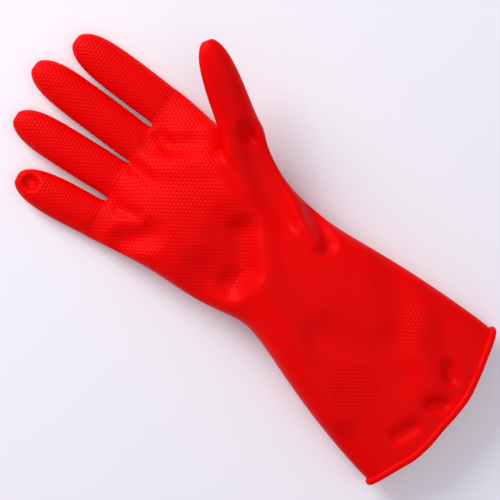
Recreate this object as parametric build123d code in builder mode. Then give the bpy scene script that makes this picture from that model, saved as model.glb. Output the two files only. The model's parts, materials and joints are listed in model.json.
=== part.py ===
from build123d import *
import os
from math import atan2, cos, radians, sin, sqrt

# Household rubber glove for the right hand, lying on its back with the palm up, in millimetres.
# X runs across the palm towards the thumb, Y from the cuff to the fingertips, Z up out of the
# palm. The origin is on the table, under the middle of the glove's box.
#
# The real glove is one dipped latex film with cotton flock bonded inside it. It bends at the
# wrist and at the creases of the fingers, so the film and its lining are made here in the zones
# between those creases, with a slit at every crease that opens to a notch on the palm side.

# Film, lining and creases
FILM = 0.6              # dipped latex
BOND = 0.05             # clearance that keeps film and lining separate solids
FLOCK = 0.4             # cotton flock
BED = 0.8               # depth to which a round form is pressed flat by the table
SLIT = 0.4              # width of the slit at a crease
NOTCH_SPARE = 2.0       # degrees of notch beyond the crease's travel, on each side
END_ROUND = 0.6         # end radius of an oval, as a share of its half height

# The middle of the glove's box, from the middle of the cuff's mouth
MIDDLE_X = 0.6
MIDDLE_Y = 152.73

# Stations: x, y, height of the middle, turn to the left, rise, half width, half height.
# The first is at the mouth and the last is at the webs between the fingers.
TRUNK = (
    (0.0, -14.0, 13.1, 3, 0, 60.0, 12.0),
    (0.5, 30.0, 13.2, 0, 0, 56.4, 14.0),
    (1.1, 60.0, 15.2, 0, 0, 51.6, 16.0),
    (2.0, 90.0, 16.7, 0, 0, 44.9, 17.5),
    (1.8, 118.0, 17.2, 2, 0, 39.8, 18.0),
    (-1.5, 140.0, 16.7, 4, 0, 42.4, 17.5),
    (-4.0, 165.0, 16.2, 6, 0, 45.3, 17.0),
    (-7.0, 190.0, 15.2, 8, 0, 45.9, 16.0),
    (-8.2, 212.0, 12.7, 10, 0, 49.1, 13.5),
    (-10.1, 226.3, 8.7, 11, 0, 51.5, 9.5),
    (-12.2, 234.9, 6.2, 11, 0, 52.3, 7.0),
)
# Thumb: the place, turn and rise where its root starts inside the palm, then its stations:
# distance from there, half width, half height
THUMB_ROOT = (20.7, 147.1, 7.8)
THUMB_TURN = -27
THUMB_RISE = 20
THUMB_PROFILE = (
    (0.0, 8.0, 7.5),
    (25.0, 14.5, 12.5),
    (47.0, 13.0, 11.5),
    (65.0, 12.0, 10.5),
    (87.0, 11.3, 9.6),
    (104.0, 9.6, 8.2),
    (112.0, 7.0, 6.0),
    (116.5, 4.3, 3.7),
    (118.0, 3.0, 2.6),
)

# Finger: x and y of its middle at the web, turn, length, half width, its other creases from there
FINGERS = {
    "index": (27.1, 242.7, 4.9, 69.5, 13.4, (32.0, 51.5)),
    "middle": (-0.2, 237.4, 5.2, 83.0, 13.1, (38.0, 61.0)),
    "ring": (-25.4, 232.2, 10.0, 77.0, 12.7, (35.5, 56.5)),
    "little": (-52.0, 227.0, 14.0, 57.5, 12.8, (26.0, 41.5)),
}
FINGER_HALF_HEIGHT = 7.25
FINGER_OVERLAP = 3.0    # a finger's form starts this far inside the palm, before it is cut
TIP_ROUNDING = 0.75     # power that turns a share of the width into a share of the height
FINGER_ROOT = 0.95      # share of the width at the web
FULL_WIDTH_AT = (0.3, 0.66)                             # shares of the length
TIP = ((13.0, 0.84), (5.5, 0.62), (1.5, 0.38), (0.0, 0.24))     # from the end, share of width

# Creases: travel in degrees, and the height of the crease line
KNUCKLE_TRAVEL = (70, 75, 48)
KNUCKLE_HEIGHT = 10.0
WEB_SPARE = 1.7         # a finger's first crease lies this far past the line of the webs
WRIST_TRAVEL = 45
WRIST = (1.8, 118.0, 25.0, 2, 0)
THUMB_TRAVEL = (35, 35)
THUMB_CREASES = (66.0, 90.0)    # distance from the thumb's root
THUMB_CREASE_OFFSET = 5.0       # from the thumb's middle towards its pad
THUMB_ROLL = 18                 # the pad faces up and this far towards the palm

# Mouth of the cuff and the bead rolled at its edge
MOUTH_SAG = 12.5        # the middle of the edge stands out this far beyond its ends
MOUTH_HALF_SPAN = 60.0
MOUTH_TURN = 3
MOUTH_MIDDLE_HEIGHT = 13.1
BEAD_RADIUS = 2.2
BEAD_HALF_WIDTH = 58.7
BEAD_HALF_HEIGHT = 11.7
LINING_STOP = 9.0       # the flock stops this far inside the bead
CUTTER_HEIGHT = 80.0
OPEN_END = 2.0          # a hollow runs this far past the start of its form

os.makedirs("parts", exist_ok=True)


def spot(x, y, z):
    """A place on the glove, from the middle of the mouth to the glove's own origin."""
    return Vector(x - MIDDLE_X, y - MIDDLE_Y, z)


def across(x, y, z, turn, rise):
    """The plane square to the glove at a place: it looks along Y, turned left and raised."""
    side = (cos(radians(turn)), sin(radians(turn)), 0)
    level = cos(radians(rise))
    forward = (-sin(radians(turn)) * level, cos(radians(turn)) * level, sin(radians(rise)))
    return Plane(origin=spot(x, y, z), x_dir=side, z_dir=forward)


def oval_corner(half_width, half_height):
    """Where the crown of an oval meets the arc of its end."""
    end = END_ROUND * half_height
    reach = half_width - end
    crown = (reach**2 + half_height**2 - end**2) / (2 * (half_height - end))
    lean = atan2(reach, crown - half_height)
    return crown * sin(lean), crown * cos(lean) - (crown - half_height)


def oval(plane, half_width, half_height):
    """Four tangent arcs: two shallow crowns and two round ends."""
    x, y = oval_corner(half_width, half_height)
    with BuildSketch(plane) as section:
        with BuildLine():
            ThreePointArc((-x, y), (0, half_height), (x, y))
            ThreePointArc((x, y), (half_width, 0), (x, -y))
            ThreePointArc((x, -y), (0, -half_height), (-x, -y))
            ThreePointArc((-x, -y), (-half_width, 0), (-x, y))
        make_face()
    return section.sketch


def form(stations, inset, end_wall=True):
    """The closed form through the stations, shrunk by inset, flat underneath."""
    sections = []
    for number, (x, y, z, turn, rise, half_width, half_height) in enumerate(stations):
        plane = across(x, y, z, turn, rise)
        if inset and number == 0:
            plane = plane.offset(-OPEN_END)
        sections.append(oval(plane, half_width - inset, half_height - inset))
    with BuildPart() as solid:
        loft(sections, ruled=True)
        split(bisect_by=Plane.XY.offset(inset), keep=Keep.TOP)
        if inset and end_wall:
            split(bisect_by=plane.offset(-inset), keep=Keep.BOTTOM)
    return solid.part


def finger_place(finger, distance):
    """Where the middle of a finger is, at a distance from the start of its stub."""
    x, y, turn = FINGERS[finger][:3]
    return x - distance * sin(radians(turn)), y + distance * cos(radians(turn))


def finger_stations(finger):
    """A straight finger of nearly even width with a round tip."""
    turn, length, half_width = FINGERS[finger][2:5]
    shares = [(-FINGER_OVERLAP, FINGER_ROOT)]
    shares += [(share * length, 1.0) for share in FULL_WIDTH_AT]
    shares += [(length - back, share) for back, share in TIP]
    stations = []
    for distance, share in shares:
        x, y = finger_place(finger, distance)
        half_height = FINGER_HALF_HEIGHT * share**TIP_ROUNDING
        middle = FINGER_HALF_HEIGHT - BED
        stations.append((x, y, middle, turn, 0, share * half_width, half_height))
    return stations


def thumb_place(distance):
    """Where the middle of the thumb is, at a distance from its root."""
    return across(*THUMB_ROOT, THUMB_TURN, THUMB_RISE).from_local_coords(Vector(0, 0, distance))


def thumb_stations():
    """A straight thumb, wide at its root, raised from the palm."""
    stations = []
    for distance, half_width, half_height in THUMB_PROFILE:
        place = thumb_place(distance)
        x = place.X + MIDDLE_X
        y = place.Y + MIDDLE_Y
        stations.append((x, y, place.Z, THUMB_TURN, THUMB_RISE, half_width, half_height))
    return stations


def crease(place, turn, rise, roll, travel):
    """A crease: its place, the way the glove runs there, the way it folds, and its travel."""
    plane = across(*place, turn, rise)
    along = plane.z_dir
    upward = -plane.y_dir
    leftward = -plane.x_dir
    fold = upward * cos(radians(roll)) + leftward * sin(radians(roll))
    return plane.origin, along, fold, travel


def finger_crease(finger, number):
    """One of the three creases of a finger, near the palm side: the first is at the web."""
    turn = FINGERS[finger][2]
    distance = (WEB_SPARE, *FINGERS[finger][5])[number]
    x, y = finger_place(finger, distance)
    return crease((x, y, KNUCKLE_HEIGHT), turn, 0, 0, KNUCKLE_TRAVEL[number])


def web_crease():
    """The line of webs, where the palm ends."""
    x, y, _, turn, rise = TRUNK[-1][:5]
    return crease((x, y - SLIT, KNUCKLE_HEIGHT), turn, rise, 0, KNUCKLE_TRAVEL[0])


def thumb_crease(number):
    """One of the two creases of the thumb, off its middle towards the pad."""
    _, along, fold, travel = crease(
        THUMB_ROOT, THUMB_TURN, THUMB_RISE, THUMB_ROLL, THUMB_TRAVEL[number]
    )
    origin = thumb_place(THUMB_CREASES[number]) + fold * THUMB_CREASE_OFFSET
    return origin, along, fold, travel


def wrist_crease():
    """The crease at the wrist; the cuff is the part that moves, so it looks back along Y."""
    origin, along, fold, travel = crease(WRIST[:3], WRIST[3], WRIST[4], 0, WRIST_TRAVEL)
    return origin, -along, fold, travel


def crease_planes(place, beyond):
    """The square face and the notch face of the zone beyond a crease, or of the one before it."""
    origin, along, fold, travel = place
    half = radians(travel / 2 + NOTCH_SPARE)
    side = 1 if beyond else -1
    start = origin + along * (side * SLIT / 2)
    outward = along * side
    square = Plane(origin=start, z_dir=outward)
    notch = Plane(origin=start, z_dir=outward * cos(half) - fold * sin(half))
    return square, notch


def digit_zone(stations, depth, thickness, near, far=None):
    """One zone of a finger or thumb, between two creases or from the last one to the tip."""
    with BuildPart() as wall:
        add(form(stations, depth))
        add(form(stations, depth + thickness), mode=Mode.SUBTRACT)
        for plane in crease_planes(near, beyond=True):
            split(bisect_by=plane, keep=Keep.TOP)
        if far:
            for plane in crease_planes(far, beyond=False):
                split(bisect_by=plane, keep=Keep.TOP)
    return wall


def palm_zone(depth, thickness):
    """The palm from the wrist to the webs, open into the fingers and into the thumb."""
    with BuildPart() as wall:
        add(form(TRUNK, depth))
        add(form(TRUNK, depth + thickness, end_wall=False), mode=Mode.SUBTRACT)
        for place in (wrist_crease(), web_crease()):
            for plane in crease_planes(place, beyond=False):
                split(bisect_by=plane, keep=Keep.TOP)
        add(form(thumb_stations(), depth + thickness), mode=Mode.SUBTRACT)
    return wall


def thumb_mound(depth, thickness):
    """The thumb's root outside the palm, up to its first crease."""
    with BuildPart() as wall:
        add(form(thumb_stations(), depth))
        add(form(thumb_stations(), depth + thickness), mode=Mode.SUBTRACT)
        for plane in crease_planes(thumb_crease(0), beyond=False):
            split(bisect_by=plane, keep=Keep.TOP)
        add(form(TRUNK, depth), mode=Mode.SUBTRACT)
    return wall


def mouth_radius():
    """Radius of the edge of the mouth, seen from above."""
    return (MOUTH_HALF_SPAN**2 + MOUTH_SAG**2) / (2 * MOUTH_SAG)


def mouth_plane():
    """The table under the middle of the mouth, turned as the mouth is."""
    side = (cos(radians(MOUTH_TURN)), sin(radians(MOUTH_TURN)), 0)
    return Plane(origin=spot(0, 0, 0), x_dir=side, z_dir=(0, 0, 1))


def cuff_zone(depth, thickness, stop):
    """The cuff from the wrist to its mouth, ending a given distance inside the bead's middle."""
    with BuildPart() as wall:
        add(form(TRUNK, depth))
        add(form(TRUNK, depth + thickness), mode=Mode.SUBTRACT)
        for plane in crease_planes(wrist_crease(), beyond=True):
            split(bisect_by=plane, keep=Keep.TOP)
        with BuildSketch(mouth_plane()):
            with Locations((0, mouth_radius() - MOUTH_SAG)):
                Circle(mouth_radius() - stop)
        extrude(amount=CUTTER_HEIGHT, mode=Mode.INTERSECT)
    return wall


def rolled_bead():
    """The bead: a round rod on four tangent arcs, along the crowns and round the ends."""
    x, y = oval_corner(BEAD_HALF_WIDTH, BEAD_HALF_HEIGHT)
    back = mouth_radius() - MOUTH_SAG - sqrt(mouth_radius()**2 - x**2)
    low = MOUTH_MIDDLE_HEIGHT - y
    high = MOUTH_MIDDLE_HEIGHT + y
    bottom = MOUTH_MIDDLE_HEIGHT - BEAD_HALF_HEIGHT
    top = MOUTH_MIDDLE_HEIGHT + BEAD_HALF_HEIGHT
    with BuildPart() as bead:
        with BuildLine(mouth_plane()) as edge:
            over = ThreePointArc((-x, back, high), (0, -MOUTH_SAG, top), (x, back, high))
            TangentArc(over @ 1, mouth_plane().from_local_coords((x, back, low)), tangent=over % 1)
            under = ThreePointArc((x, back, low), (0, -MOUTH_SAG, bottom), (-x, back, low))
            TangentArc(under @ 1, over @ 0, tangent=under % 1)
        with BuildSketch(Plane(origin=edge.wire() @ 0, z_dir=edge.wire() % 0)):
            Circle(BEAD_RADIUS)
        sweep(path=edge.wire())
        split(bisect_by=Plane.XY, keep=Keep.TOP)
    return bead


def save(built, node):
    """Label a finished piece and write it."""
    built.part.label = node
    export_step(built.part, f"parts/{node}.step")


bead = rolled_bead()
save(bead, "rolled_bead")

LAYERS = {
    "film": (0.0, FILM, BEAD_RADIUS),
    "lining": (FILM + BOND, FLOCK, BEAD_RADIUS + LINING_STOP),
}
for layer, (depth, thickness, stop) in LAYERS.items():
    save(cuff_zone(depth, thickness, stop), f"cuff_{layer}")
    save(palm_zone(depth, thickness), f"palm_{layer}")
    save(thumb_mound(depth, thickness), f"thumb_mound_{layer}")
    for finger in FINGERS:
        outline = finger_stations(finger)
        creases = [finger_crease(finger, number) for number in range(3)]
        base = digit_zone(outline, depth, thickness, creases[0], creases[1])
        save(base, f"{finger}_base_{layer}")
        middle = digit_zone(outline, depth, thickness, creases[1], creases[2])
        save(middle, f"{finger}_middle_{layer}")
        tip = digit_zone(outline, depth, thickness, creases[2])
        save(tip, f"{finger}_tip_{layer}")
    thumb_base = digit_zone(thumb_stations(), depth, thickness, thumb_crease(0), thumb_crease(1))
    save(thumb_base, f"thumb_base_{layer}")
    thumb_tip = digit_zone(thumb_stations(), depth, thickness, thumb_crease(1))
    save(thumb_tip, f"thumb_tip_{layer}")
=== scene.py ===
import json
from math import cos, pi, radians, sin, sqrt

import bpy
import bmesh
from mathutils import Matrix, Vector


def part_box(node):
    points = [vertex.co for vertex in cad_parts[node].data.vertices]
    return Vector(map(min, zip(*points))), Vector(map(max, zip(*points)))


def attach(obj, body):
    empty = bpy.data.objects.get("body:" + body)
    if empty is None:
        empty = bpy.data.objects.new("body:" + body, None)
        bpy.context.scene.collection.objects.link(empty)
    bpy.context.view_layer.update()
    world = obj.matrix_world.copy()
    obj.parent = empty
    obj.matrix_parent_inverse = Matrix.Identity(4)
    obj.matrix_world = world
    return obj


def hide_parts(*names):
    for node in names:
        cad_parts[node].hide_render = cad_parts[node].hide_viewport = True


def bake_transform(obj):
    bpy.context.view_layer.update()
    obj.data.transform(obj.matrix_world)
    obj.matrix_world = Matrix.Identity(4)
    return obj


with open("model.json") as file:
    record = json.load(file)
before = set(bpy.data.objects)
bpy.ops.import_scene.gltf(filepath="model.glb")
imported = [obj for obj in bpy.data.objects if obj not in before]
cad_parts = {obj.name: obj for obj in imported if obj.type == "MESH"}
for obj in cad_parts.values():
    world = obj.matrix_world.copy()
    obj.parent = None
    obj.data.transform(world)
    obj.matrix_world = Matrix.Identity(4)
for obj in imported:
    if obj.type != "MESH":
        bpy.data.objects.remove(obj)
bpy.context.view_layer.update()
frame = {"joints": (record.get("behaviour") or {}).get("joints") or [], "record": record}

MM = 0.001

# ---- Places read from the frame -----------------------------------------------------------
JOINTS = {joint["name"]: joint for joint in frame["joints"]}
MOUNTS = {mount["name"]: mount for mount in frame["record"]["mounts"]}
MOUTH_SAG = 12.5                # mm that the middle of the cuff's edge stands out past its ends
MOUTH_HALF_WIDTH = 60.0
MOUTH_HEIGHT = 13.1             # mm from the table to the middle of the mouth
MOUTH = Vector(MOUNTS["cuff_mouth"]["pos_m"]) + Vector((0, MOUTH_SAG, -MOUTH_HEIGHT)) * MM
UP = Vector((0, 0, 1))

# ---- Driving dimensions, in millimetres from the middle of the mouth -----------------------
FILM = 0.6
BOND = 0.05                     # room between the film and its lining
FLOCK = 0.4
BEAD = 2.35                     # the bead's radius
CAGE = 1.065                    # a subdivided cage shrinks by this much round a finger
COLUMNS = 12                    # faces across the palm, three for each finger
FINGERS = ("little", "ring", "middle", "index")

# x, y, height of the middle, turn, half width, half height, share of the mouth's sag,
# height left at the columns between the fingers
TRUNK = (
    (0.0, 0.0, 13.1, 3.0, 59.4, 11.6, 1.0, 1.0),
    (0.2, 9.0, 13.4, 2.0, 59.0, 12.8, 0.55, 1.0),
    (0.5, 30.0, 13.6, 0.0, 56.6, 14.4, 0.15, 1.0),
    (1.1, 60.0, 15.6, 0.0, 51.9, 16.4, 0.0, 1.0),
    (2.0, 90.0, 17.0, 0.0, 45.2, 17.8, 0.0, 1.0),
    (2.1, 107.0, 17.4, 1.0, 41.4, 18.2, 0.0, 1.0),
    (1.6, 120.0, 17.4, 2.0, 39.6, 18.2, 0.0, 1.0),
    (-0.6, 134.0, 17.2, 3.5, 41.6, 18.0, 0.0, 1.0),
    (-2.8, 150.0, 16.8, 5.0, 44.2, 17.6, 0.0, 1.0),
    (-4.2, 166.0, 16.4, 6.0, 45.6, 17.2, 0.0, 1.0),
    (-5.6, 182.0, 15.8, 7.0, 46.2, 16.6, 0.0, 1.0),
    (-7.2, 197.0, 14.8, 8.5, 47.6, 15.4, 0.0, 1.0),
    (-8.8, 212.0, 12.6, 10.0, 49.8, 13.2, 0.0, 0.95),
    (-10.4, 225.0, 9.6, 11.0, 51.8, 10.2, 0.0, 0.8),
    (-12.2, 234.9, 7.4, 11.0, 53.0, 8.6, 0.0, 0.42),
)
THUMB_ROWS = (8, 9, 10, 11)     # trunk stations between which the thumb grows out

# Each finger's half width; its length comes from the frame.
FINGER_HALF_WIDTH = {"little": 12.9, "ring": 12.9, "middle": 13.1, "index": 13.5}
FINGER_HALF_HEIGHT = 7.2
TIP_FLATNESS = 0.7              # a tip's height falls off more slowly than its width
FINGER_MIDDLE = 7.2             # height of a finger's middle line
ROOT_BACK = 1.7                 # the first crease lies this far past the line of the webs
TIP_SPARE = 0.6                 # how far the skin is drawn past the end of the tip's zone
# Stations of a finger: distance from the web and share of its width, then distance back from
# the tip and share. A station from the tip that would fall among the first ones is left out.
LAST_ROOT_STATION = 24
ROOT_STATIONS = ((3.0, 0.97), (9.0, 0.99), (18.0, 1.0))
TIP_STATIONS = ((26.0, 1.0), (14.0, 0.88), (6.5, 0.68), (1.6, 0.36))

THUMB_ROOT = Vector((20.7, 147.1, 7.8))
THUMB_TURN = -27
THUMB_RISE = 20
THUMB_CREASES = (66.0, 90.0)
THUMB_FIRST_CUT = 60.0
THUMB_LENGTH = 118.0
THUMB_GIRTH = 17                # nothing of the thumb lies further from its line than this
# Stations of the thumb: distance along it, half width and half height
THUMB = (
    (52.0, 14.4, 12.4),
    (60.0, 12.6, 11.2),
    (70.0, 11.9, 10.3),
    (82.0, 11.7, 9.8),
    (94.0, 11.0, 9.2),
    (104.0, 9.7, 8.2),
    (111.5, 7.6, 6.4),
    (116.8, 4.0, 3.4),
)
SMOOTH_LEVEL = 3
SMOOTH_ANGLE = 50

# The trunk's cross section, and how much wider the cages are made so that they shrink to size
CROWN = 0.80                    # how far the section falls away towards its sides
SIDE_TUCK = 0.035               # share by which the top and bottom rows end before the sides
TRUNK_CAGE_WIDTH = 1.012
TRUNK_CAGE_HEIGHT = 1.03
DIGIT_CAGE = 1.04


def from_mouth(x, y, z):
    """A place given from the middle of the mouth in millimetres, in the row frame in metres."""
    return MOUTH + Vector((x, y, z)) * MM


def axes(turn, rise=0.0):
    """Across, along and upward of a stretch of glove that is turned left and raised."""
    across = Vector((cos(radians(turn)), sin(radians(turn)), 0))
    level = cos(radians(rise))
    along = Vector((-sin(radians(turn)) * level, cos(radians(turn)) * level, sin(radians(rise))))
    return across, along, across.cross(along)


# ---- Small helpers ------------------------------------------------------------------------
def deselect():
    """Nothing selected and no object active."""
    if bpy.context.object and bpy.context.object.mode != "OBJECT":
        bpy.ops.object.mode_set(mode="OBJECT")
    bpy.ops.object.select_all(action="DESELECT")


def pick(piece):
    """Only this piece selected and active."""
    deselect()
    piece.select_set(True)
    bpy.context.view_layer.objects.active = piece


def finish_modifier(piece, kind, **settings):
    """Adds a modifier with its settings and applies it."""
    pick(piece)
    modifier = piece.modifiers.new(kind.title(), kind)
    for name, value in settings.items():
        setattr(modifier, name, value)
    bpy.ops.object.modifier_apply(modifier=modifier.name)


def step(value, low, high):
    """Smooth step from 0 to 1."""
    share = min(max((value - low) / (high - low), 0.0), 1.0)
    return share * share * (3 - 2 * share)


# ---- The cage: a grid extruded from station to station --------------------------------------
def trunk_ring(station):
    """The 13 by 3 points of one station: top row, middle row and bottom row."""
    x, y, z, turn, half_width, half_height, sag, web = station
    across, along, upward = axes(turn)
    points = []
    for row in (-1, 0, 1):
        for column in range(COLUMNS + 1):
            share = column / (COLUMNS / 2) - 1
            crown = sqrt(1 - CROWN * share**2)
            if column % 3 == 0 and 0 < column < COLUMNS:
                crown *= web
            side = share if row == 0 else share * (1 - SIDE_TUCK * abs(share) ** 6)
            bow = sag * MOUTH_SAG * ((side * half_width / MOUTH_HALF_WIDTH) ** 2 - 1)
            place = Vector((x, y, z)) + across * (side * half_width * TRUNK_CAGE_WIDTH)
            place += along * bow + upward * (row * crown * half_height * TRUNK_CAGE_HEIGHT)
            points.append(from_mouth(*place))
    return points


def digit_ring(middle, across, upward, half_width, half_height, columns, rows):
    """A grid of points pulled round to an oval: one station of a finger or of the thumb."""
    points = []
    for row in range(rows):
        for column in range(columns):
            s = 2 * row / (rows - 1) - 1
            t = 2 * column / (columns - 1) - 1
            flat = t * sqrt(1 - s * s / 2)
            tall = s * sqrt(1 - t * t / 2)
            place = middle + across * (flat * half_width) + upward * (tall * half_height)
            points.append(from_mouth(*place))
    return points


def finger_facts(finger):
    """Start at the web, direction and length of a finger, in millimetres from the mouth."""
    joint = JOINTS[f"{finger}_root"]
    across = Vector(joint["axis"]).normalized()
    along = UP.cross(across)
    start = (Vector(joint["pos_m"]) - MOUTH) / MM - along * ROOT_BACK
    start.z = 0
    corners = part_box(f"{finger}_tip_film")
    middle = (Vector(corners[0]) + Vector(corners[1])) / 2
    end = Vector((middle.x, Vector(corners[1]).y, 0)) / MM - MOUTH / MM
    length = (end - start).dot(along) + TIP_SPARE
    return start, across, along, length


FACTS = {finger: finger_facts(finger) for finger in FINGERS}


def finger_rings(finger):
    """The stations of one finger, from the web to its tip."""
    start, across, along, length = FACTS[finger]
    width = FINGER_HALF_WIDTH[finger]
    stations = list(ROOT_STATIONS)
    for back, share in TIP_STATIONS:
        if length - back > LAST_ROOT_STATION:
            stations.append((length - back, share))
    rings = []
    for distance, share in stations:
        middle = start + along * distance + UP * FINGER_MIDDLE
        wide = share * width * CAGE
        tall = FINGER_HALF_HEIGHT * share**TIP_FLATNESS * CAGE * DIGIT_CAGE
        rings.append(digit_ring(middle, across, UP, wide, tall, 4, 3))
    return rings


def thumb_rings():
    """The stations of the thumb, whose rows run from its upper side down."""
    across, along, upward = axes(THUMB_TURN, THUMB_RISE)
    rings = []
    for distance, half_width, half_height in THUMB:
        middle = THUMB_ROOT + along * distance
        wide = half_width * DIGIT_CAGE
        tall = half_height * DIGIT_CAGE
        rings.append(digit_ring(middle, across, -upward, wide, tall, 5, 4))
    return rings


def move_selected(mesh, old, new):
    """Moves each selected point from its place in the old ring to its place in the new one."""
    for vert in mesh.verts:
        if vert.select:
            nearest = min(range(len(old)), key=lambda k: (old[k] - vert.co).length_squared)
            vert.co = new[nearest]


def extrude_to(piece, old, new):
    """Extrudes the selected faces and shapes their new edge as the next station."""
    bpy.ops.mesh.extrude_region_move()
    mesh = bmesh.from_edit_mesh(piece.data)
    move_selected(mesh, old, new)
    bmesh.update_edit_mesh(piece.data)


def select_faces(piece, wanted):
    """In edit mode: selects exactly the faces whose corners all pass the test."""
    bpy.ops.mesh.select_all(action="DESELECT")
    mesh = bmesh.from_edit_mesh(piece.data)
    for face in mesh.faces:
        face.select_set(all(wanted(vert.co) for vert in face.verts))
    bmesh.update_edit_mesh(piece.data)


def near_any(points):
    """A test: is a place one of these points?"""
    return lambda place: any((place - point).length < 1e-6 for point in points)


def glove_cage():
    """The whole glove as one low cage of four-sided faces, open at the mouth."""
    deselect()
    bpy.ops.mesh.primitive_grid_add(x_subdivisions=COLUMNS, y_subdivisions=2, size=2)
    piece = bpy.context.object
    piece.name = "glove_skin"
    rings = [trunk_ring(station) for station in TRUNK]
    grid = [
        Vector((column / (COLUMNS / 2) - 1, row, 0))
        for row in (-1, 0, 1)
        for column in range(COLUMNS + 1)
    ]
    bpy.ops.object.mode_set(mode="EDIT")
    bpy.ops.mesh.select_all(action="SELECT")
    mesh = bmesh.from_edit_mesh(piece.data)
    move_selected(mesh, grid, rings[0])
    bmesh.update_edit_mesh(piece.data)
    for old, new in zip(rings, rings[1:]):
        extrude_to(piece, old, new)
    # the fingers grow from the end of the palm, three faces wide
    web = rings[-1]
    for number, finger in enumerate(FINGERS):
        block = [
            web[row * (COLUMNS + 1) + column]
            for row in range(3)
            for column in range(3 * number, 3 * number + 4)
        ]
        select_faces(piece, near_any(block))
        old = block
        for new in finger_rings(finger):
            extrude_to(piece, old, new)
            old = new
    # the thumb grows from the palm side of the edge, four faces wide
    rows = []
    for row in THUMB_ROWS:
        top = [rings[row][2 * (COLUMNS + 1) + column] for column in range(9, COLUMNS + 1)]
        rows.append(top + [rings[row][COLUMNS + 1 + COLUMNS]])
    block = [point for row in rows for point in row]
    select_faces(piece, near_any(block))
    old = block
    for new in thumb_rings():
        extrude_to(piece, old, new)
        old = new
    # open the mouth
    select_faces(piece, near_any(rings[0]))
    bpy.ops.mesh.delete(type="FACE")
    mesh = bmesh.from_edit_mesh(piece.data)
    loose = [vert for vert in mesh.verts if not vert.link_faces]
    bmesh.ops.delete(mesh, geom=loose, context="VERTS")
    bmesh.update_edit_mesh(piece.data)
    bpy.ops.mesh.select_all(action="SELECT")
    bpy.ops.mesh.normals_make_consistent(inside=False)
    bpy.ops.object.mode_set(mode="OBJECT")
    return piece


# ---- Camera, light and floor ---------------------------------------------------------------
VIEW_ROLL = -48                 # the fingers point up and to the left in the view
VIEW_MIDDLE = (-3.2, 144.9)     # what the camera looks straight down at
VIEW_WIDTH = 305.0              # millimetres across the view at the height of the palm
PALM_HEIGHT = 14.0
LENS = 85.0
SENSOR = 36.0


def camera():
    """A camera straight above the glove."""
    data = bpy.data.cameras.new("camera")
    data.lens = LENS
    data.sensor_width = SENSOR
    item = bpy.data.objects.new("camera", data)
    bpy.context.collection.objects.link(item)
    distance = LENS / SENSOR * VIEW_WIDTH
    item.location = from_mouth(*VIEW_MIDDLE, PALM_HEIGHT + distance)
    item.rotation_euler = (0, 0, radians(VIEW_ROLL))
    bpy.context.scene.camera = item


def area_light(name, place, size, power):
    """A soft square light that faces the palm; its place is in metres, turned with the view."""
    data = bpy.data.lights.new(name, "AREA")
    data.shape = "SQUARE"
    data.size = size
    data.energy = power
    item = bpy.data.objects.new(name, data)
    bpy.context.collection.objects.link(item)
    target = from_mouth(*VIEW_MIDDLE, 0)
    turn = Matrix.Rotation(radians(VIEW_ROLL), 3, "Z")
    item.location = target + turn @ Vector(place)
    item.rotation_euler = (target - item.location).to_track_quat("-Z", "Y").to_euler()


def studio():
    """White table, a large soft light from the upper left, and a pale surround."""
    deselect()
    bpy.ops.mesh.primitive_plane_add(size=6, location=(0, 0, 0))
    floor = bpy.context.object
    floor.name = "floor"
    material = bpy.data.materials.new("white_table_paper")
    material.use_nodes = True
    shader = material.node_tree.nodes["Principled BSDF"]
    shader.inputs["Base Color"].default_value = (*linear("f2f0f4"), 1)
    shader.inputs["Roughness"].default_value = 0.7
    floor.data.materials.append(material)
    area_light("window", (-1.0, 1.0, 0.85), 0.8, 21.0)
    area_light("fill", (0.5, -0.2, 1.6), 1.6, 6.0)
    world = bpy.data.worlds.new("surround")
    world.use_nodes = True
    world.node_tree.nodes["Background"].inputs["Color"].default_value = (*linear("f4f2ff"), 1)
    world.node_tree.nodes["Background"].inputs["Strength"].default_value = 0.5
    bpy.context.scene.world = world
    bpy.context.scene.view_settings.view_transform = "Standard"


# ---- Materials -----------------------------------------------------------------------------
def linear(colour):
    """An sRGB hex colour as linear red, green and blue."""
    values = [int(colour[k:k + 2], 16) / 255 for k in (0, 2, 4)]
    return tuple(v / 12.92 if v <= 0.04045 else ((v + 0.055) / 1.055) ** 2.4 for v in values)


def node(tree, kind, links=(), **settings):
    """Adds a node with its settings and input values, and links (input, socket) pairs."""
    made = tree.nodes.new(kind)
    for name, value in settings.items():
        if name == "inputs":
            for key, given in value.items():
                made.inputs[key].default_value = given
        else:
            setattr(made, name, value)
    for key, socket in links:
        tree.links.new(socket, made.inputs[key])
    return made


GRIP_PITCH = 2.15               # mm between the rows of the grip


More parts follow.
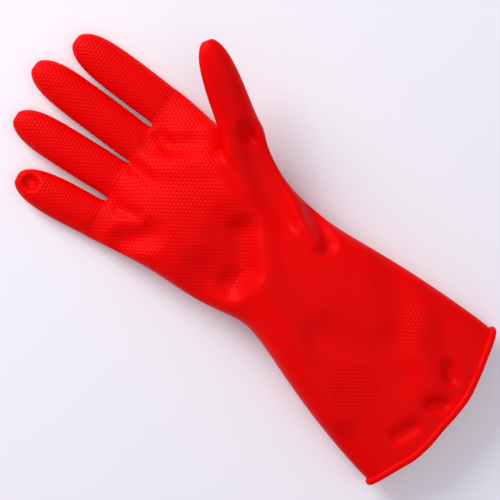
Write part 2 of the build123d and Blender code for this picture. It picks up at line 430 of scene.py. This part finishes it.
def latex():
    """Dipped natural rubber latex: an even, satin red skin with hardly any white in its gloss,
    a faint cloudiness from the dip, and a hexagonal grip moulded into the palm side."""
    material = bpy.data.materials.new("dipped_natural_rubber_latex")
    material.use_nodes = True
    tree = material.node_tree
    shader = tree.nodes["Principled BSDF"]
    shader.inputs["Roughness"].default_value = 0.45
    shader.inputs["IOR"].default_value = 1.5
    shader.inputs["Specular IOR Level"].default_value = 0.05
    place = node(tree, "ShaderNodeTexCoord")
    cloud = node(
        tree, "ShaderNodeTexNoise", [("Vector", place.outputs["Object"])],
        inputs={"Scale": 28.0, "Detail": 3.0},
    )
    tone = node(tree, "ShaderNodeMix", [("Factor", cloud.outputs["Fac"])], data_type="RGBA")
    tone.inputs["A"].default_value = (*linear("de0001"), 1)
    tone.inputs["B"].default_value = (*linear("ec0001"), 1)
    tree.links.new(tone.outputs["Result"], shader.inputs["Base Color"])
    grip = node(tree, "ShaderNodeAttribute", attribute_name="grip")
    waves = []
    for turn in (90, 30, 150):
        direction = (cos(radians(turn)), sin(radians(turn)), 0)
        along = node(
            tree, "ShaderNodeVectorMath", [(0, grip.outputs["Vector"])], operation="DOT_PRODUCT",
            inputs={1: tuple(2 * pi / GRIP_PITCH * c for c in direction)},
        )
        waves.append(node(tree, "ShaderNodeMath", [(0, along.outputs["Value"])], operation="COSINE"))
    total = waves[0]
    for wave in waves[1:]:
        total = node(
            tree, "ShaderNodeMath", [(0, total.outputs[0]), (1, wave.outputs[0])], operation="ADD"
        )
    parts = node(tree, "ShaderNodeSeparateXYZ", [(0, grip.outputs["Vector"])])
    height = node(
        tree, "ShaderNodeMath", [(0, total.outputs[0]), (1, parts.outputs["Z"])],
        operation="MULTIPLY",
    )
    grain = node(
        tree, "ShaderNodeTexNoise", [("Vector", place.outputs["Object"])],
        inputs={"Scale": 900.0, "Detail": 2.0},
    )
    fine = node(
        tree, "ShaderNodeBump", [("Height", grain.outputs["Fac"])],
        inputs={"Strength": 0.08, "Distance": 0.0002},
    )
    emboss = node(
        tree, "ShaderNodeBump", [("Height", height.outputs[0]), ("Normal", fine.outputs[0])],
        inputs={"Strength": 0.36, "Distance": 0.0002},
    )
    tree.links.new(emboss.outputs[0], shader.inputs["Normal"])
    return material


def flock():
    """Cotton flock: short cream fibres blown on to the wet film, dull and slightly fuzzy."""
    material = bpy.data.materials.new("cotton_flock")
    material.use_nodes = True
    tree = material.node_tree
    shader = tree.nodes["Principled BSDF"]
    shader.inputs["Roughness"].default_value = 0.95
    shader.inputs["Sheen Weight"].default_value = 0.3
    place = node(tree, "ShaderNodeTexCoord")
    fuzz = node(
        tree, "ShaderNodeTexNoise", [("Vector", place.outputs["Object"])],
        inputs={"Scale": 1400.0, "Detail": 3.0},
    )
    tone = node(tree, "ShaderNodeMix", [("Factor", fuzz.outputs["Fac"])], data_type="RGBA")
    tone.inputs["A"].default_value = (*linear("d8cdb8"), 1)
    tone.inputs["B"].default_value = (*linear("f4ecdc"), 1)
    tree.links.new(tone.outputs["Result"], shader.inputs["Base Color"])
    bump = node(
        tree, "ShaderNodeBump", [("Height", fuzz.outputs["Fac"])],
        inputs={"Strength": 0.6, "Distance": 0.0004},
    )
    tree.links.new(bump.outputs[0], shader.inputs["Normal"])
    return material


# ---- Shaping the skin ----------------------------------------------------------------------
SINK_LIMIT = 0.3                # share of its height that a press may take from the upper skin


def press(piece, upper, places, radius, height):
    """Raises or sinks the upper skin along a line of places, fading out at the radius."""
    centres = [from_mouth(*place, 0) for place in places]
    runs = list(zip(centres, centres[1:]))
    radius = radius * MM
    for vert, share_up in zip(piece.data.vertices, upper):
        flat = Vector((vert.co.x, vert.co.y, 0))
        nearest = radius
        for start, end in runs:
            run = end - start
            share = min(max((flat - start).dot(run) / run.length_squared, 0), 1)
            nearest = min(nearest, (flat - start - run * share).length)
        if nearest < radius and share_up > 0:
            rise = height * MM * share_up * step(1 - nearest / radius, 0, 1)
            vert.co.z += max(rise, -SINK_LIMIT * vert.co.z)


# Lines of places on the upper skin, how far each reaches to its sides and how high it rises.
FOLDS = (
    # the long crest from the thumb's root past the heel and down the cuff
    (
        ((31, 204), (16.6, 180), (12.3, 168.7), (-2, 142), (-11.9, 127.2), (-25, 100),
         (-37.2, 73.2), (-46, 40)), 17, 3.8,
    ),
    # the hollow of the heel beside it, and the one at the little finger's side
    (((-2, 158), (-16, 147), (-30, 152)), 24, -5.0),
    (((2, 155), (-13, 138), (-26, 139)), 13, -5.5),
    (((-50, 205), (-37, 196)), 13, -5.0),
    # the crease across the palm, with the skin piled up below it
    (((3.6, 233), (17.4, 216.7), (31, 204.4)), 10, -3.0),
    (((-8, 224), (8, 208), (24, 194)), 12, 1.6),
    # the valleys that run from the webs into the palm
    (((12, 232), (9, 220)), 7, -2.4),
    (((-13, 230), (-12, 218)), 7, -2.4),
    (((-38, 221), (-34, 210)), 7, -2.2),
    # the valley between the thumb's mound and the flap behind it
    (((50, 194), (46.8, 191)), 8, -4.0),
    (((46.8, 190), (37, 176), (28, 160), (23, 140)), 12, -3.4),
    # the flap's edge, and the pinch that it hangs over
    (((54, 192), (51, 176), (41, 152), (32, 138), (26, 119)), 8, 3.4),
    (((38, 133), (34, 121), (30, 112)), 8, -4.5),
    # soft folds in the cuff
    (((-10, 78), (0, 46), (0, 26)), 18, -2.4),
    (((36, 40), (20, 28), (9, 12)), 15, 2.2),
    (((46, 76), (30, 56), (18, 46)), 17, -2.2),
    # creases where the bead pulls at the edge
    (((20, 3.5), (24, 9)), 6.5, -4.2),
    (((6, -3.5), (0, 1.5)), 6.5, -4.2),
    (((-27, 4), (-17, 1)), 7.5, -3.6),
)
CRATER = ((-62.4, 271.6), (-62.4, 272.6))   # the little finger's tip has popped inwards
CRATER_REACH = 6.5
CRATER_DEPTH = 6.0


def shape_skin(piece):
    """The folds and hollows of a glove that lies relaxed on its back."""
    upper = [step(vert.normal.z, 0.0, 0.5) for vert in piece.data.vertices]
    for places, reach, height in FOLDS:
        press(piece, upper, places, reach, height)
    press(piece, upper, CRATER, CRATER_REACH, -CRATER_DEPTH)
    for vert in piece.data.vertices:
        vert.co.z = max(vert.co.z, 0.0)
    piece.data.update()


# ---- The grip's rows: two directions in millimetres, and how deep it is at each point --------
HEEL = (-17.0, 128.0)           # lowest point of the gripped area
HEEL_TOP = 157                  # above this the grip ends beside the thumb, below it at the heel
HEEL_SLOPES = (1.1, 0.86)       # its right and lower edges, going up from the heel
THUMB_EDGE = (15, 41)           # right end of the grip below and above the thumb's root
THUMB_EDGE_RISE = (186, 210)
GRIP_FADE = 1.5
PALM_TURN = 10
THUMB_SMOOTH_FROM = 46          # past this distance along the thumb there is no grip
FINGER_GRIP_FROM = 1.0
PATCHES = ((-22.3, 43.9), (27.3, 42.6))
PATCH_REACH = 14.5
PATCH_FADE = 0.5
PATCH_DEPTH = 1.3


def on_finger(place):
    """How far a place is to the side of the nearest finger's line, and how far along it."""
    both = []
    for start, across, along, _ in FACTS.values():
        both.append(((place - start).dot(across), (place - start).dot(along)))
    return min(both, key=lambda pair: abs(pair[0]))


def grip_depth(x, y):
    """How deep the grip is on the palm: it ends in a curve at the heel and beside the thumb."""
    below, above = THUMB_EDGE
    right = below + (above - below) * step(y, *THUMB_EDGE_RISE)
    if y < HEEL_TOP:
        right = HEEL[0] + (y - HEEL[1]) * HEEL_SLOPES[0]
    low = HEEL[1] + max(0, HEEL[0] - x) * HEEL_SLOPES[1]
    return step(right - x, -GRIP_FADE, GRIP_FADE) * step(y - low, -GRIP_FADE, GRIP_FADE)


def patch_depth(x, y):
    """Two small hexagons of the same grip on the cuff."""
    depth = 0.0
    for middle_x, middle_y in PATCHES:
        side, up = abs(x - middle_x), abs(y - middle_y)
        reach = max(up, side * sqrt(3) / 2 + up / 2)
        depth = max(depth, PATCH_DEPTH * step(PATCH_REACH - reach, -PATCH_FADE, PATCH_FADE))
    return depth


def mark_grip(piece):
    """Writes the grip's place and depth on every point of the skin."""
    across, along, _ = axes(PALM_TURN)
    values = []
    for vert in piece.data.vertices:
        place = (vert.co - MOUTH) / MM
        flat = Vector((place.x, place.y, 0))
        side, up = flat.dot(across), flat.dot(along)
        facing = step(vert.normal.z, 0.1, 0.45)
        finger_side, finger_up = on_finger(flat)
        if on_thumb(vert.co, THUMB_SMOOTH_FROM):
            depth = 0.0
        elif finger_up > FINGER_GRIP_FROM:
            side, up = finger_side, finger_up
            depth = 1.0
        else:
            depth = max(grip_depth(place.x, place.y), patch_depth(place.x, place.y))
        values += [side, up, depth * facing]
    layer = piece.data.attributes.new("grip", "FLOAT_VECTOR", "POINT")
    layer.data.foreach_set("vector", values)


# ---- Cutting the skin into the stretches between the creases ---------------------------------
CUT_BAND = 8                    # mm on each side of a cut within which faces are cut
SLACK = 1e-6


def anywhere(co):
    """A test that every place passes."""
    return True


def split_off(piece, name, origin, along, belongs):
    """Cuts across the skin at a place and separates what lies beyond and belongs."""
    def near(co):
        return abs((co - origin).dot(along)) < CUT_BAND * MM and belongs(co)

    def beyond(co):
        return (co - origin).dot(along) > -SLACK and belongs(co)

    pick(piece)
    bpy.ops.object.mode_set(mode="EDIT")
    bpy.ops.mesh.select_mode(type="FACE")
    select_faces(piece, near)
    bpy.ops.mesh.bisect(plane_co=origin, plane_no=along, use_fill=False)
    select_faces(piece, beyond)
    bpy.ops.mesh.separate(type="SELECTED")
    bpy.ops.object.mode_set(mode="OBJECT")
    made = [item for item in bpy.context.selected_objects if item != piece][0]
    made.name = name
    return made


THUMB_LOWEST = 19.5             # higher than this and further right than the next is thumb
THUMB_LEFTMOST = 30


def beyond_web(finger):
    """A test: does a place belong to this finger, past the webs?"""
    def test(co):
        flat = (co - MOUTH) / MM
        if flat.z > THUMB_LOWEST and flat.x > THUMB_LEFTMOST:
            return False
        flat.z = 0
        start, across, along, _ = FACTS[finger]
        if (flat - start).dot(along) < -CUT_BAND:
            return False
        own = abs((flat - start).dot(across))
        return all(
            own <= abs((flat - FACTS[other][0]).dot(FACTS[other][1])) for other in FINGERS
        )
    return test


def on_thumb(co, least=50):
    """A test: does a place belong to the free end of the thumb?"""
    along = axes(THUMB_TURN, THUMB_RISE)[1]
    offset = (co - MOUTH) / MM - THUMB_ROOT
    distance = offset.dot(along)
    return distance > least and (offset - along * distance).length < THUMB_GIRTH


FIRST_CUT = 4.5                 # mm past the web where a finger's own skin starts
FOLD_REACH = 7.0                # mm that a crease's bend reaches on each side
ROOT_EXTRA = 4                  # and further than that past a digit's first crease
CLEAR_OF_CUT = 0.5              # a bend is over this far before the next cut
CUFF_CUT = 99.0


def digit_stretches(digit):
    """A digit's start and direction, and for each crease: the body before it, the body past it,
    where the skin is cut and where the bend starts and ends."""
    if digit == "thumb":
        start, along, length = THUMB_ROOT, axes(THUMB_TURN, THUMB_RISE)[1], THUMB_LENGTH
        creases = list(THUMB_CREASES)
        names = ["hand", "thumb_base", "thumb_tip"]
        cut = THUMB_FIRST_CUT
    else:
        start, _, along, length = FACTS[digit]
        origin = Vector(JOINTS[f"{digit}_root"]["pos_m"])
        creases = [
            (Vector(JOINTS[f"{digit}_{name}"]["pos_m"]) - origin).dot(along) / MM + ROOT_BACK
            for name in ("root", "bend", "tip_bend")
        ]
        names = ["hand", f"{digit}_base", f"{digit}_middle", f"{digit}_tip"]
        cut = FIRST_CUT
    stretches = []
    extra = ROOT_EXTRA
    for before, after, crease, end in zip(names, names[1:], creases, creases[1:] + [length]):
        finish = (crease + end) / 2
        bend_start = max(cut, crease - FOLD_REACH)
        bend_end = min(crease + FOLD_REACH + extra, finish - CLEAR_OF_CUT)
        stretches.append((before, after, cut, bend_start, bend_end))
        cut = finish
        extra = 0
    return start, along, stretches


def at(start, along, distance):
    """A place along a finger or thumb, in metres in the row frame."""
    return MOUTH + (start + along * distance) * MM


def film_and_flock(piece, zones):
    """Gives a stretch of skin its thickness, and the flock lining inside it."""
    lining = piece.copy()
    lining.data = piece.data.copy()
    lining.name = piece.name.replace("skin", "flock")
    bpy.context.collection.objects.link(lining)
    pick(lining)
    bpy.ops.object.mode_set(mode="EDIT")
    bpy.ops.mesh.select_all(action="SELECT")
    bpy.ops.transform.shrink_fatten(value=-(FILM + BOND) * MM)
    bpy.ops.object.mode_set(mode="OBJECT")
    finish_modifier(lining, "SOLIDIFY", thickness=FLOCK * MM, offset=-1)
    lining.data.materials.clear()
    lining.data.materials.append(FLOCK_FINISH)
    finish_modifier(piece, "SOLIDIFY", thickness=FILM * MM, offset=-1)
    for item, kind, slot in ((piece, "film", "latex"), (lining, "lining", "flock")):
        pick(item)
        bpy.ops.object.shade_smooth_by_angle(angle=radians(SMOOTH_ANGLE))
        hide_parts(*[f"{zone}_{kind}" for zone in zones])
    return piece, lining


MOUTH_ZONE = 40                 # the mouth's edge lies below this, in mm
# Waves of the bead: height, length and start of each
BEAD_RIPPLES = ((0.5, 6.1, 0), (0.3, 2.7, 1))
BEAD_SWAY = (0.5, 7.3, 2)


def wave(along, height, length, start):
    """One wave at a place along the bead, in millimetres."""
    return height * sin(along / length + start)


def bead_from(piece):
    """The rolled bead: the edge of the mouth drawn out as a round rod."""
    pick(piece)
    bpy.ops.object.mode_set(mode="EDIT")
    bpy.ops.mesh.select_mode(type="EDGE")
    bpy.ops.mesh.select_all(action="DESELECT")
    mesh = bmesh.from_edit_mesh(piece.data)
    limit = from_mouth(0, MOUTH_ZONE, 0).y
    for edge in mesh.edges:
        edge.select_set(edge.is_boundary and all(vert.co.y < limit for vert in edge.verts))
    bmesh.update_edit_mesh(piece.data)
    bpy.ops.mesh.duplicate()
    bpy.ops.mesh.separate(type="SELECTED")
    bpy.ops.object.mode_set(mode="OBJECT")
    bead = [item for item in bpy.context.selected_objects if item != piece][0]
    bead.name = "rolled_bead_skin"
    for vert in bead.data.vertices:
        along = vert.co.x / MM
        vert.co.z += sum(wave(along, *ripple) for ripple in BEAD_RIPPLES) * MM
        vert.co.y += wave(along, *BEAD_SWAY) * MM
    pick(bead)
    bpy.ops.object.convert(target="CURVE")
    bead.data.bevel_depth = BEAD * MM
    bead.data.bevel_resolution = 4
    bpy.ops.object.convert(target="MESH")
    for vert in bead.data.vertices:
        vert.co.z = max(vert.co.z, 0.0)
    bead.data.materials.clear()
    bead.data.materials.append(LATEX)
    bpy.ops.object.shade_smooth()
    return bead


# ---- The glove ------------------------------------------------------------------------------
LATEX = latex()
FLOCK_FINISH = flock()


def whole_skin():
    """The glove's skin in one piece, shaped and marked with its grip."""
    piece = glove_cage()
    finish_modifier(piece, "SUBSURF", levels=SMOOTH_LEVEL, render_levels=SMOOTH_LEVEL)
    shape_skin(piece)
    mark_grip(piece)
    piece.data.materials.append(LATEX)
    piece.name = "palm_skin"
    return piece


def cut_digits(palm):
    """Cuts the fingers and thumb off the palm, stretch by stretch, with what each bends over."""
    made = []
    for digit in (*FINGERS, "thumb"):
        start, along, stretches = digit_stretches(digit)
        belongs = on_thumb if digit == "thumb" else beyond_web(digit)
        rest = palm
        for before, after, cut, bend_start, bend_end in stretches:
            rest = split_off(rest, f"{after}_skin", at(start, along, cut), along, belongs)
            bend = (at(start, along, bend_start), at(start, along, bend_end))
            made.append((rest, before, after, bend))
            belongs = anywhere
    return made


palm = whole_skin()
digits = cut_digits(palm)
to_mouth = Vector((0, -1, 0))
cuff = split_off(palm, "cuff_skin", from_mouth(0, CUFF_CUT, 0), to_mouth, anywhere)
bead = bead_from(cuff)

for piece, before, after, (bend_start, bend_end) in digits:
    for item in film_and_flock(piece, [after]):
        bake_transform(item)
for item in film_and_flock(palm, ["palm", "thumb_mound"]):
    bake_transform(item)
for item in film_and_flock(cuff, ["cuff"]):
    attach(item, "cuff")
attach(bead, "cuff")
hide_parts("rolled_bead")

camera()
studio()
